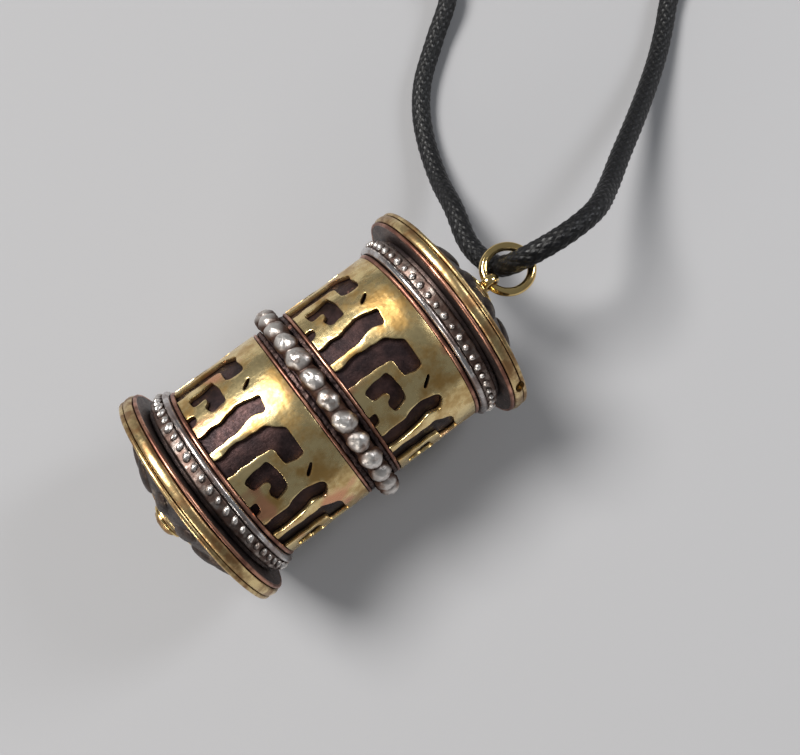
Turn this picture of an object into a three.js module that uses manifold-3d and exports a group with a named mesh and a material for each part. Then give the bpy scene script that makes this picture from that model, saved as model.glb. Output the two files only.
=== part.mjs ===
// A small prayer wheel pendant, lying on its side, with the jump ring and the waxed neck cord it hangs on.
// A copper drum with pierced brass sleeves, beaded wires and domed ends turns on a fixed spindle.
// Millimetres. +X runs along the spindle towards the jump ring, +Z is up, and the flange rims stand on z = 0.
import * as THREE from 'three';
import { mergeVertices } from 'three/addons/utils/BufferGeometryUtils.js';
import Module from 'manifold-3d';

const wasm = await Module();
wasm.setup();

// Driving dimensions. Places along the spindle are counted from the middle of the drum.
const flangeRadius = 10.5;
const flangeOuterFace = 14.1;
const flangeRimWidth = 1.25;
const capPlateThickness = 0.3;
const capPlateRadius = 10.2;
const capPlateHole = 2.2;
const drumRadius = 8.15;
const drumWall = 0.4;
const sleeveRadius = 8.6;
const sleeveFrom = 1.75;
const sleeveTo = 9.87;
const beadRadius = 1.0;
const beadRing = 9.0;
const beadCount = 28;
const beadBandWidth = 1.2;
const grainRadius = 0.44;
const grainRing = 8.85;
const grainCount = 54;
const grainPlace = 11.3;
const grainBandWidth = 0.84;
const wireBandRadius = 8.75;
const pittedStrip = { from: 0.98, to: 1.34, radius: 8.5 };
const edgeWire = { place: 1.55, thickness: 0.15 };
const rimWire = { place: 10.12, thickness: 0.2 };
const halfRoundBand = { from: 10.4, to: 10.84, radius: 9.08 };
const neckCollar = { from: 11.85, slimRadius: 8.4, wideRadius: 8.55 };
const domeRadius = 9.55;
const domeHeight = 3.1;
const domeWall = 0.5;
const domeHole = 1.75;
const rosetteRadii = [2.1, 5.2, 8.3];
const rosetteRise = 0.42;
const scallopDepth = 1.5;
const petalCount = 12;
const rollLength = 20;
const rollCore = 1.5;
const rollTurns = 3;
const rollPitch = 1.6;
const rollStrip = 0.9;
const threadBand = { half: 0.5, inner: 7.3, outer: 7.6 };
const spindleRadius = 0.9;
const wireRadius = 0.42;
const jumpRingRadius = 2.2;
const eyeHole = 18.15;
const eyeHoleRadius = 0.62;
const eyeThickness = 1.0;
const eyeRadius = 1.05;
const washerRadius = 1.7;
const washerThickness = 0.22;
const rivetRadius = 1.35;
const tailEnd = 17.75;
const cordDiameter = 2.1;
const coilCentre = [58.5, 40];
const coilInner = 8.9;
const coilOuter = 17;
const coilHeight = 4.4;
const knotLength = 5;
const knotRadius = 2.35;

// What follows from them.
const segments = 36;
const slip = 0.04;
const seatRadius = drumRadius + slip;
const capPlateFace = flangeOuterFace - flangeRimWidth - slip;
const drumHalf = capPlateFace - capPlateThickness - slip;
const ringCentre = eyeHole + jumpRingRadius;
const ringEnd = ringCentre + jumpRingRadius + wireRadius;
const drumCentreX = (tailEnd - ringEnd) / 2;
const spindleHeight = flangeRadius * Math.cos(Math.PI / segments);
const domeFoot = flangeOuterFace - flangeRimWidth + domeWall + slip;
const bushFace = domeFoot + domeHeight + 0.4;
const washerFace = bushFace + slip / 2;
const hardwareFace = washerFace + washerThickness + slip;

// Materials.
const metal = (color, roughness) => new THREE.MeshStandardMaterial({ color, roughness, metalness: 1 });
const brass = metal(0xc9a24e, 0.3);
const copper = metal(0x9c5b3f, 0.45);
const darkCopper = metal(0x3b2a28, 0.6);
const whiteMetal = metal(0xb5b0a6, 0.35);
const steel = metal(0x8d8d8d, 0.35);
const paper = new THREE.MeshStandardMaterial({ color: 0xd8c9a3, roughness: 0.9 });
const thread = new THREE.MeshStandardMaterial({ color: 0x8f3a2c, roughness: 0.9 });
const cordBlack = new THREE.MeshStandardMaterial({ color: 0x15151a, roughness: 0.6 });

// Merges a geometry's vertices by place, and turns it right side out.
function closed(geometry) {
  geometry.deleteAttribute('normal');
  geometry.deleteAttribute('uv');
  const merged = mergeVertices(geometry, 1e-5);
  const place = merged.attributes.position;
  const index = Array.from(merged.index.array);
  const corner = (i) => new THREE.Vector3().fromBufferAttribute(place, i);
  let volume = 0;
  const kept = [];
  for (let i = 0; i < index.length; i += 3) {
    const [a, b, c] = [index[i], index[i + 1], index[i + 2]];
    if (a === b || b === c || c === a) continue;
    kept.push(a, b, c);
    volume += corner(a).dot(corner(b).cross(corner(c)));
  }
  merged.setIndex(volume > 0 ? kept : kept.reverse());
  return merged;
}

// Solids for cuts and joins.
function solid(geometry) {
  const shape = closed(geometry);
  return new wasm.Manifold(new wasm.Mesh({
    numProp: 3,
    vertProperties: new Float32Array(shape.attributes.position.array),
    triVerts: new Uint32Array(shape.index.array),
  }));
}

function geometryOf(manifold) {
  const mesh = manifold.getMesh();
  const geometry = new THREE.BufferGeometry();
  geometry.setAttribute('position', new THREE.BufferAttribute(new Float32Array(mesh.vertProperties), 3));
  geometry.setIndex(Array.from(mesh.triVerts));
  return geometry;
}

const joined = (first, ...others) => others.reduce((whole, other) => whole.add(other), first);

// A turned piece: outline points are [place along the spindle, radius]. A facet of it faces straight down.
function turned(outline, count = segments) {
  const points = outline.map(([along, radius]) => new THREE.Vector2(radius, along));
  return new THREE.LatheGeometry(points, count, Math.PI / count).rotateZ(-Math.PI / 2);
}

// A turned ring whose section is the closed outline given.
const hoop = (outline, count) => turned([...outline, outline[0]], count);

const band = (from, to, inner, outer) => hoop([[from, inner], [to, inner], [to, outer], [from, outer]]);

const threadTie = ({ half, inner, outer }) => band(-half, half, inner, outer);

function wireHoop(place, radius, thickness, sides = 5) {
  const outline = [];
  for (let i = 0; i < sides; i += 1) {
    const angle = ((i + 0.5) * 2 * Math.PI) / sides;
    outline.push([place + thickness * Math.cos(angle), radius + thickness * Math.sin(angle)]);
  }
  return hoop(outline);
}

// A thin wire laid round the drum.
const drumWire = ({ place: along, thickness }, end) => (
  wireHoop(along * end, seatRadius + thickness + slip, thickness)
);

// The two ends of the drum are mirror images: the same outline, with its places negated.
const mirrored = (outline, end) => outline.map(([along, radius]) => [along * end, radius]);

// A ring of equal grains on a flat band. The band has one facet under each grain.
function grainedHoop(place, bandHalf, bandRadius, ring, grain, count) {
  const clear = seatRadius / Math.cos(Math.PI / count);
  const section = [[-bandHalf, clear], [bandHalf, clear], [bandHalf, bandRadius], [-bandHalf, bandRadius]];
  let whole = solid(hoop(section, count));
  for (let i = 0; i < count; i += 1) {
    const angle = (i * 2 * Math.PI) / count;
    const ball = grain().translate(0, 0, ring).rotateX(angle);
    whole = whole.add(solid(ball));
  }
  const reach = 2 * bandHalf;
  const bore = solid(turned([[-reach, 0], [-reach, clear], [reach, clear], [reach, 0]], count));
  return geometryOf(whole.subtract(bore).translate(place, 0, 0));
}

// Openings of the pierced sleeves. Each is a stroke of one width along a line,
// in millimetres: first round the drum, then up from the sleeve's lower edge.
const motifCount = 6;
const motifPitch = (2 * Math.PI * sleeveRadius) / motifCount;
const openings = [
  { line: [[1.3, -1.0], [1.3, 4.2], [2.0, 5.1], [4.1, 5.1]], width: 1.8 },
  { line: [[3.7, 0.9], [3.4, 2.7], [5.2, 2.9], [5.5, 1.9]], width: 1.2 },
  { line: [[5.6, -0.9], [5.4, 0.6]], width: 1.0 },
  { line: [[7.9, -1.0], [7.9, 2.6], [7.4, 3.8], [7.9, 5.7]], width: 1.6 },
  { line: [[5.2, 5.9], [5.9, 5.0]], width: 0.3 },
];

// The outline of a stroke: along one side of its line and back along the other, with mitred corners.
function strokeOutline({ line, width }) {
  const points = line.map(([x, y]) => new THREE.Vector2(x, y));
  const ways = points.slice(1).map((point, i) => point.clone().sub(points[i]).normalize());
  const side = (i, turn) => {
    const after = ways[Math.min(i, ways.length - 1)];
    const mitre = ways[Math.max(i - 1, 0)].clone().add(after).normalize();
    const reach = (turn * width) / (2 * mitre.dot(after));
    return points[i].clone().addScaledVector(new THREE.Vector2(-mitre.y, mitre.x), reach);
  };
  const left = points.map((point, i) => side(i, 1));
  const right = points.map((point, i) => side(i, -1));
  return [...left, ...right.reverse()];
}

// A cutter through the sleeve: the flat outline is wrapped round the spindle, with its walls pointing at it.
function openingCutter(opening, turn, base) {
  const depth = 8;
  const wallFrom = 6;
  const flat = new THREE.ExtrudeGeometry(new THREE.Shape(strokeOutline(opening)), {
    depth, bevelEnabled: false,
  });
  const place = flat.attributes.position;
  for (let i = 0; i < place.count; i += 1) {
    const angle = place.getX(i) / sleeveRadius + turn;
    const radius = wallFrom + place.getZ(i);
    place.setXYZ(i, base + place.getY(i), -radius * Math.sin(angle), radius * Math.cos(angle));
  }
  return solid(flat);
}

function piercedSleeve(lower, upper) {
  const inner = seatRadius;
  let sleeve = solid(band(lower, upper, inner, sleeveRadius));
  for (let i = 0; i < motifCount; i += 1) {
    for (const opening of openings) {
      sleeve = sleeve.subtract(openingCutter(opening, (i * motifPitch) / sleeveRadius, lower));
    }
  }
  return geometryOf(sleeve);
}

// Points of a domed cap's outside at the radii given, and of surfaces that run parallel to it.
function domeLine(radii, lift) {
  const bow = (domeRadius ** 2 + domeHeight ** 2) / (2 * domeHeight);
  const height = (radius) => Math.sqrt(bow ** 2 - radius ** 2) - (bow - domeHeight);
  return radii.map((radius) => [domeFoot + height(radius) + lift, radius]);
}

function domedCap(end) {
  const radii = [domeHole, ...rosetteRadii, domeRadius];
  return hoop(mirrored([...domeLine(radii, 0), ...domeLine(radii.reverse(), -domeWall)], end));
}

// The chased rosette on a dome: a thin shell with a scalloped edge.
function rosette(end) {
  const lowSide = domeLine(rosetteRadii, slip);
  const highSide = domeLine([...rosetteRadii].reverse(), slip + rosetteRise);
  const shell = solid(hoop(mirrored([...lowSide, ...highSide], end)));
  const edge = new THREE.Shape();
  const outer = rosetteRadii.at(-1);
  for (let i = 0; i < petalCount * 4; i += 1) {
    const angle = (i * Math.PI) / (petalCount * 2);
    const reach = outer - scallopDepth * Math.abs(Math.sin((angle * petalCount) / 2));
    const point = [reach * Math.cos(angle), reach * Math.sin(angle)];
    if (i === 0) edge.moveTo(...point);
    else edge.lineTo(...point);
  }
  const reach = 2 * tailEnd;
  const slab = new THREE.ExtrudeGeometry(edge, { depth: reach, bevelEnabled: false });
  slab.translate(0, 0, -reach / 2).rotateY(Math.PI / 2);
  return geometryOf(shell.intersect(solid(slab)));
}

// The rounded rim of a flange, and the plate that closes the drum behind it.
function rimHoop(end) {
  const out = flangeOuterFace;
  const low = flangeOuterFace - flangeRimWidth;
  const rounding = 0.35;
  return hoop(mirrored([
    [low, domeRadius + slip], [low, flangeRadius - rounding], [low + rounding, flangeRadius],
    [out - rounding, flangeRadius], [out, flangeRadius - rounding], [out, domeRadius + slip],
  ], end));
}

function capPlate(end) {
  const low = capPlateFace - capPlateThickness;
  return hoop(mirrored([
    [low, capPlateHole], [low, capPlateRadius], [capPlateFace, capPlateRadius], [capPlateFace, capPlateHole],
  ], end));
}

// The bands between a sleeve and its flange.
function neck(end) {
  const { from, slimRadius, wideRadius } = neckCollar;
  return hoop(mirrored([
    [from, seatRadius], [from, slimRadius], [drumHalf, wideRadius], [drumHalf, seatRadius],
  ], end));
}

function halfRound(end) {
  const { from, to, radius } = halfRoundBand;
  const shoulder = (seatRadius + 2 * radius) / 3;
  return hoop(mirrored([
    [from, seatRadius], [from + slip / 2, shoulder], [(from + to) / 2, radius],
    [to - slip / 2, shoulder], [to, seatRadius],
  ], end));
}

const strip = ({ from, to, radius }, end) => hoop(mirrored([
  [from, seatRadius], [from, radius], [to, radius], [to, seatRadius],
], end));

// The spindle's own pieces.
function spindle() {
  const half = bushFace + washerThickness / 2;
  return turned([[-half, 0], [-half, spindleRadius], [half, spindleRadius], [half, 0]], 24);
}

function eyeFinial() {
  const foot = hardwareFace;
  const stemTop = eyeHole - eyeHoleRadius;
  const [footRadius, shoulder, stemRadius] = [1.15, 0.25, 0.6];
  const stem = solid(turned([
    [foot, 0], [foot, footRadius], [foot + shoulder, footRadius], [stemTop, stemRadius], [stemTop, 0],
  ], 24));
  const disc = new THREE.CylinderGeometry(eyeRadius, eyeRadius, eyeThickness, 20).translate(eyeHole, 0, 0);
  const hole = new THREE.CylinderGeometry(eyeHoleRadius, eyeHoleRadius, 2 * eyeThickness, 20);
  return geometryOf(joined(stem, solid(disc)).subtract(solid(hole.translate(eyeHole, 0, 0))));
}

function washer(end) {
  const [low, high] = [washerFace, washerFace + washerThickness];
  const bore = spindleRadius + slip;
  return hoop(mirrored([[low, bore], [low, washerRadius], [high, washerRadius], [high, bore]], end), 24);
}

function tailRivet() {
  const face = hardwareFace;
  const edge = face + 0.2;
  const crown = tailEnd - 0.1;
  return turned(mirrored([
    [face, 0], [face, rivetRadius], [edge, rivetRadius], [crown, rivetRadius / 2], [tailEnd, 0],
  ], -1), 24);
}

// A bush in the dome's hole, which the spindle turns in, with a flange outside the dome.
function bush(end) {
  const bore = spindleRadius + 1.5 * slip;
  const barrel = domeHole - slip;
  const flange = domeHole + 0.2;
  const [[shoulder]] = domeLine([domeHole], slip);
  const innerFace = shoulder - 1.6;
  return hoop(mirrored([
    [innerFace, bore], [innerFace, barrel], [shoulder, barrel], [shoulder, flange],
    [bushFace, flange - 0.1], [bushFace, bore],
  ], end), 24);
}

// A paper roll wound round the spindle, with a clear spiral gap between its turns.
function paperRoll() {
  const steps = 14 * rollTurns;
  const inside = [];
  const outside = [];
  for (let i = 0; i <= steps; i += 1) {
    const turn = (i / steps) * rollTurns;
    const [x, y] = [Math.cos(turn * 2 * Math.PI), Math.sin(turn * 2 * Math.PI)];
    const radius = rollCore + turn * rollPitch;
    inside.push(new THREE.Vector2(radius * x, radius * y));
    outside.unshift(new THREE.Vector2((radius + rollStrip) * x, (radius + rollStrip) * y));
  }
  const section = new THREE.Shape([...inside, ...outside]);
  const roll = new THREE.ExtrudeGeometry(section, { depth: rollLength, bevelEnabled: false });
  return roll.translate(0, 0, -rollLength / 2).rotateY(Math.PI / 2);
}

// The cord. Its points were laid by hand: up from the coil, under the jump ring's near side, through it,
// over its far side, and down in a long low arch to the other side of the coil.
const cordRest = cordDiameter / 2 + 0.05;
const knotHeight = 2.45;
const cordRoute = [
  [45.9, 54.5, cordRest], [42.2, 49.6, cordRest], [39.8, 43.6, 1.9], [38.6, 39.0, knotHeight],
  [37.6, 35.0, knotHeight], [35.6, 31.4, 1.7], [31.0, 28.0, cordRest], [26.8, 24.7, cordRest],
  [24.4, 21.8, cordRest], [22.6, 18.5, 1.3], [20.7, 13.9, 2.5], [19.2, 9.6, 4.95],
  [17.7, 5.5, 6.3], [17.4, 2.8, 7.6], [17.6, 1.0, 9.35], [18.25, 0.05, 10.9],
  [19.5, -0.6, 12.25], [21.35, -1.1, 13.1], [23.85, -1.25, 13.1], [27.0, -0.8, 12.0],
  [30.6, 0.85, 9.2], [34.9, 3.3, 6.8], [39.6, 5.9, 4.7], [43.9, 8.4, 3.0],
  [48.0, 11.0, 1.8], [51.5, 13.6, 1.2], [54.4, 16.0, cordRest], [60.0, 19.4, cordRest],
  [66.0, 22.4, cordRest],
];

function cordTube() {
  const path = new THREE.CatmullRomCurve3(cordRoute.map((point) => new THREE.Vector3(...point)));
  const section = new THREE.Shape();
  const sides = 8;
  for (let i = 0; i < sides; i += 1) {
    const angle = ((i + 0.5) * 2 * Math.PI) / sides;
    const corner = [Math.cos(angle), Math.sin(angle)].map((share) => (share * cordDiameter) / 2);
    if (i === 0) section.moveTo(...corner);
    else section.lineTo(...corner);
  }
  return new THREE.ExtrudeGeometry(section, { steps: 44, extrudePath: path, bevelEnabled: false });
}

// The rest of the cord, wound in a flat coil, as one solid of its outer shape.
function cordCoil() {
  const edge = 0.8;
  const floor = 0.04;
  const outline = [
    [floor, coilInner + edge], [floor, coilOuter - edge], [floor + edge, coilOuter],
    [coilHeight - edge, coilOuter], [coilHeight, coilOuter - edge], [coilHeight, coilInner + edge],
    [coilHeight - edge, coilInner], [floor + edge, coilInner],
  ];
  return hoop(outline, 32).rotateY(-Math.PI / 2).translate(coilCentre[0], coilCentre[1], 0);
}

// The knot that joins the cord's ends: a short barrel of wraps, with the cord running through it.
function cordKnot() {
  const half = knotLength / 2;
  const bore = cordDiameter / 2 + 0.35;
  const endRadius = knotRadius - 0.4;
  const barrel = hoop([
    [-half, bore], [-half, endRadius], [-half / 2, knotRadius],
    [half / 2, knotRadius], [half, endRadius], [half, bore],
  ], 16);
  const from = new THREE.Vector3(...cordRoute[4]);
  const to = new THREE.Vector3(...cordRoute[3]);
  const along = to.clone().sub(from).normalize();
  barrel.applyQuaternion(new THREE.Quaternion().setFromUnitVectors(new THREE.Vector3(1, 0, 0), along));
  const middle = from.add(to).multiplyScalar(0.5);
  return barrel.translate(middle.x, middle.y, middle.z);
}

// The assembly.
const pendant = new THREE.Group();
pendant.position.set(drumCentreX, 0, spindleHeight);
const cord = new THREE.Group();

function place(group, name, geometry, material) {
  const mesh = new THREE.Mesh(closed(geometry), material);
  mesh.name = name;
  group.add(mesh);
}

place(pendant, 'spindle', spindle(), steel);
place(pendant, 'eye_finial', eyeFinial(), brass);
place(pendant, 'tail_rivet', tailRivet(), brass);
place(pendant, 'jump_ring', new THREE.TorusGeometry(jumpRingRadius, wireRadius, 8, 20)
  .translate(ringCentre, 0, 0), brass);
place(pendant, 'drum_tube', band(-drumHalf, drumHalf, drumRadius - drumWall, drumRadius), darkCopper);
place(pendant, 'paper_roll', paperRoll(), paper);
place(pendant, 'roll_thread', threadTie(threadBand), thread);
place(pendant, 'bead_wire', grainedHoop(0, beadBandWidth / 2, wireBandRadius, beadRing,
  () => new THREE.OctahedronGeometry(beadRadius, 1), beadCount), whiteMetal);

for (const [side, end] of [['ring', 1], ['tail', -1]]) {
  const sleeveEdges = end > 0 ? [sleeveFrom, sleeveTo] : [-sleeveTo, -sleeveFrom];
  const named = (piece) => `${piece}_${side}`;
  place(pendant, named('washer'), washer(end), brass);
  place(pendant, named('bush'), bush(end), brass);
  place(pendant, named('dome'), domedCap(end), darkCopper);
  place(pendant, named('rosette'), rosette(end), whiteMetal);
  place(pendant, named('flange_rim'), rimHoop(end), brass);
  place(pendant, named('cap_plate'), capPlate(end), copper);
  place(pendant, named('neck_collar'), neck(end), darkCopper);
  place(pendant, named('grain_wire'), grainedHoop(grainPlace * end, grainBandWidth / 2, wireBandRadius,
    grainRing, () => new THREE.OctahedronGeometry(grainRadius), grainCount), whiteMetal);
  place(pendant, named('half_round_band'), halfRound(end), whiteMetal);
  place(pendant, named('rim_wire'), drumWire(rimWire, end), copper);
  place(pendant, named('sleeve'), piercedSleeve(...sleeveEdges), brass);
  place(pendant, named('edge_wire'), drumWire(edgeWire, end), copper);
  place(pendant, named('pitted_strip'), strip(pittedStrip, end), darkCopper);
}

place(cord, 'cord_strand', cordTube(), cordBlack);
place(cord, 'cord_coil', cordCoil(), cordBlack);
place(cord, 'cord_knot', cordKnot(), cordBlack);

const prayerWheel = new THREE.Group();
prayerWheel.add(pendant, cord);

export default prayerWheel;
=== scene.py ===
"""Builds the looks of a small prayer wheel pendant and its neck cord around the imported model."""

import logging
import math
import random
from collections.abc import Callable, Iterable, Iterator, Sequence
from contextlib import contextmanager
from dataclasses import dataclass, field
from enum import Enum

import bmesh
import bpy
from mathutils import Matrix, Vector, noise

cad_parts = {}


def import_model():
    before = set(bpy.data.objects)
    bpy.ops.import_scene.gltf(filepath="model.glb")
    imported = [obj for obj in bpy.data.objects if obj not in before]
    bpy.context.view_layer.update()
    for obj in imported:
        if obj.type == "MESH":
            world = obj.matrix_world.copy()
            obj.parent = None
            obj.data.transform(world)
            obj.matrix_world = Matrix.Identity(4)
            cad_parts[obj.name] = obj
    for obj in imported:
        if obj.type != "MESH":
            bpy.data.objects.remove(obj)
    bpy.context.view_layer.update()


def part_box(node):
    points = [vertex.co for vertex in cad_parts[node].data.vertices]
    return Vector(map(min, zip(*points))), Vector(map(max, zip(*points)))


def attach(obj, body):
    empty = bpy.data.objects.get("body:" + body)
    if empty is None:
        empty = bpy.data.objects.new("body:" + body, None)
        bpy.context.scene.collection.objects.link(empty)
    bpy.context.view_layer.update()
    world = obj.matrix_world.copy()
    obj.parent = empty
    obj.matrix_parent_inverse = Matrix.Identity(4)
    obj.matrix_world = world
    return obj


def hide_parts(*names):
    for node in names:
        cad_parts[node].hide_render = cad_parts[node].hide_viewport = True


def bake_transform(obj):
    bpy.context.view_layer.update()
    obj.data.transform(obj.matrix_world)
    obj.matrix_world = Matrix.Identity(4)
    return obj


log = logging.getLogger("prayer_wheel")

MM = 0.001
Section = list[tuple[float, float]]
Point = tuple[float, float, float]


class End(Enum):
    """The two ends of the drum, and the way each points along the spindle."""

    RING = 1
    TAIL = -1

    @property
    def suffix(self) -> str:
        """The ending of this end's node names."""
        return self.name.lower()


class Body(Enum):
    """The bodies that pieces ride on."""

    HANGER = "hanger"
    DRUM = "drum"
    RING = "ring"


# --------------------------------------------------------------------------- measures


@dataclass(frozen=True)
class Spindle:
    """The line that the drum turns on, and the middle of the drum along it."""

    middle: float
    height: float

    @classmethod
    def from_frame(cls) -> "Spindle":
        """Reads the line from the drum's tube."""
        low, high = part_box("drum_tube")
        return cls(middle=(low.x + high.x) / 2, height=(low.z + high.z) / 2)

    def point(self, along: float, angle: float, radius: float) -> Vector:
        """A place on the drum.

        Args:
            along: Distance from the drum's middle towards the jump ring.
            angle: Angle round the drum, from straight up towards -Y.
            radius: Distance from the spindle.

        Returns:
            The place in the row frame.
        """
        across, up = -radius * math.sin(angle), radius * math.cos(angle)
        return Vector((self.middle + along, across, self.height + up))


@dataclass(frozen=True)
class Seat:
    """The room that a turned CAD node takes: its faces along the spindle and its radius."""

    start: float
    end: float
    outer: float

    @classmethod
    def of(cls, node: str, spindle: Spindle) -> "Seat":
        """Measures a node.

        Args:
            node: Name of the CAD node.
            spindle: The line that it is turned about.

        Returns:
            Its room, with the faces counted from the drum's middle.
        """
        low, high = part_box(node)
        return cls(start=low.x - spindle.middle, end=high.x - spindle.middle, outer=(high.z - low.z) / 2)

    def narrowed(self, end: "End", cut: float) -> "Seat":
        """The same room, cut back on the side of the drum's middle."""
        if end is End.RING:
            return Seat(self.start + cut, self.end, self.outer)
        return Seat(self.start, self.end - cut, self.outer)

    @property
    def centre(self) -> float:
        """The middle between its faces."""
        return (self.start + self.end) / 2

    @property
    def width(self) -> float:
        """The distance between its faces."""
        return self.end - self.start


# --------------------------------------------------------------------------- the bench


class Bench:
    """Hand operations that every piece is made with."""

    @staticmethod
    def clear_selection() -> None:
        """Deselects everything, in object mode."""
        if bpy.context.mode != "OBJECT":
            bpy.ops.object.mode_set(mode="OBJECT")
        bpy.ops.object.select_all(action="DESELECT")

    @staticmethod
    def pick(piece: bpy.types.Object) -> None:
        """Makes a piece the only selected one and the active one."""
        Bench.clear_selection()
        piece.select_set(True)
        bpy.context.view_layer.objects.active = piece

    @staticmethod
    @contextmanager
    def editing(piece: bpy.types.Object) -> Iterator[bmesh.types.BMesh]:
        """Opens a piece in edit mode with all of it selected."""
        Bench.pick(piece)
        bpy.ops.object.mode_set(mode="EDIT")
        bpy.ops.mesh.select_all(action="SELECT")
        yield bmesh.from_edit_mesh(piece.data)
        bpy.ops.object.mode_set(mode="OBJECT")

    @staticmethod
    def active(name: str) -> bpy.types.Object:
        """Names the piece that was just added, and lays its place into its mesh."""
        piece = bpy.context.object
        piece.name = name
        piece.data.name = name
        bpy.ops.object.transform_apply(location=True, rotation=True, scale=True)
        return piece

    @staticmethod
    def turned(name: str, section: Section, spindle: Spindle, steps: int = 160) -> bpy.types.Object:
        """Turns a closed section round the spindle.

        Args:
            name: Name of the piece.
            section: Corners of the section, as (place along the spindle, radius).
            spindle: The line that it turns about.
            steps: Steps of the whole turn.

        Returns:
            A closed ring.
        """
        Bench.clear_selection()
        bpy.ops.mesh.primitive_circle_add(vertices=len(section), radius=MM, fill_type="NOTHING")
        piece = Bench.active(name)
        with Bench.editing(piece) as mesh:
            mesh.verts.ensure_lookup_table()
            for corner, (along, radius) in zip(mesh.verts, section):
                corner.co = spindle.point(along, 0.0, radius)
            bmesh.update_edit_mesh(piece.data)
            bpy.ops.mesh.spin(
                steps=steps, angle=2 * math.pi, center=(0, 0, spindle.height), axis=(1, 0, 0)
            )
            bpy.ops.mesh.select_all(action="SELECT")
            bpy.ops.mesh.remove_doubles(threshold=1e-7)
            bpy.ops.mesh.normals_make_consistent(inside=False)
        return piece

    @staticmethod
    def apply(piece: bpy.types.Object, kind: str, **settings: object) -> None:
        """Adds a modifier to a piece and applies it.

        Args:
            piece: The piece.
            kind: The modifier's type.
            settings: Its settings, by their names.
        """
        Bench.pick(piece)
        modifier = piece.modifiers.new(kind.lower(), kind)
        for key, value in settings.items():
            setattr(modifier, key, value)
        bpy.ops.object.modifier_apply(modifier=modifier.name)

    @staticmethod
    def uneven(piece: bpy.types.Object, depth: float, grain: float) -> None:
        """Makes a piece slightly uneven, as hand work is.

        Args:
            piece: The piece.
            depth: The height of its waves.
            grain: The length of its waves.
        """
        waves = bpy.data.textures.new(f"{piece.name}_waves", "CLOUDS")
        waves.noise_scale = grain
        waves.noise_depth = 1
        Bench.apply(piece, "DISPLACE", texture=waves, texture_coords="LOCAL", strength=depth, mid_level=0.5)

    @staticmethod
    def smooth(piece: bpy.types.Object, angle: float = 50.0) -> None:
        """Shades a piece smooth, and keeps edges sharper than the angle."""
        Bench.pick(piece)
        bpy.ops.object.shade_smooth_by_angle(angle=math.radians(angle))

    @staticmethod
    def joined(name: str, parts: Sequence[bpy.types.Object]) -> bpy.types.Object:
        """Joins several objects into one piece."""
        Bench.pick(parts[0])
        for part in parts[1:]:
            part.select_set(True)
        if len(parts) > 1:
            bpy.ops.object.join()
        piece = bpy.context.object
        piece.name = name
        piece.data.name = name
        return piece

    @staticmethod
    def round_the_drum(
        template: bpy.types.Object,
        count: int,
        spindle: Spindle,
        change: Callable[[int], float] | None = None,
    ) -> list[bpy.types.Object]:
        """Copies a template round the spindle, each copy with its own mesh.

        Args:
            template: A mesh standing straight above the spindle. It becomes the first copy.
            count: How many there are in all.
            spindle: The line to go round.
            change: Gives a copy's own size, for pieces that differ a little.

        Returns:
            All the copies.
        """
        to_line = Matrix.Translation((0, 0, spindle.height))
        rest = template.data.copy()
        middle = sum((v.co for v in rest.vertices), Vector()) / len(rest.vertices)
        copies = [template]
        for index in range(count):
            if index:
                copy = template.copy()
                copy.data = rest.copy()
                bpy.context.scene.collection.objects.link(copy)
                copies.append(copy)
            size = change(index) if change else 1.0
            grow = Matrix.Translation(middle) @ Matrix.Scale(size, 4) @ Matrix.Translation(-middle)
            turn = Matrix.Rotation(2 * math.pi * index / count, 4, "X")
            copies[index].data.transform(to_line @ turn @ to_line.inverted() @ grow)
        bpy.data.meshes.remove(rest)
        return copies


def rounded(start: float, end: float, inner: float, outer: float, radius: float, steps: int = 4) -> Section:
    """A band's section with round outer corners.

    Args:
        start: Lower face along the spindle.
        end: Upper face along the spindle.
        inner: Inner radius.
        outer: Outer radius.
        radius: Radius of the two outer corners.
        steps: Steps of each round corner.

    Returns:
        The section's corners.
    """
    section = [(start, inner)]
    for middle, first in ((start + radius, 180.0), (end - radius, 90.0)):
        for step in range(steps + 1):
            angle = math.radians(first - 90.0 * step / steps)
            section.append((middle + radius * math.cos(angle), outer - radius + radius * math.sin(angle)))
    section.append((end, inner))
    return section


def arch(start: float, end: float, foot: float, peak: float, steps: int = 10) -> Section:
    """One rounded ridge, from foot to foot.

    Args:
        start: Where it starts along the spindle.
        end: Where it ends.
        foot: Radius of its two feet.
        peak: Radius of its top.
        steps: Steps across it.

    Returns:
        The ridge's points.
    """
    turns = [math.pi * step / steps for step in range(steps + 1)]
    middle, half = (start + end) / 2, (end - start) / 2
    return [(middle - half * math.cos(t), foot + (peak - foot) * math.sin(t) ** 0.6) for t in turns]


def wire(centre: float, ring: float, thickness: float, steps: int = 12) -> Section:
    """The section of a round wire bent into a hoop."""
    turns = [2 * math.pi * step / steps for step in range(steps)]
    return [(centre + thickness * math.cos(t), ring + thickness * math.sin(t)) for t in turns]


# --------------------------------------------------------------------------- finishes


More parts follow.
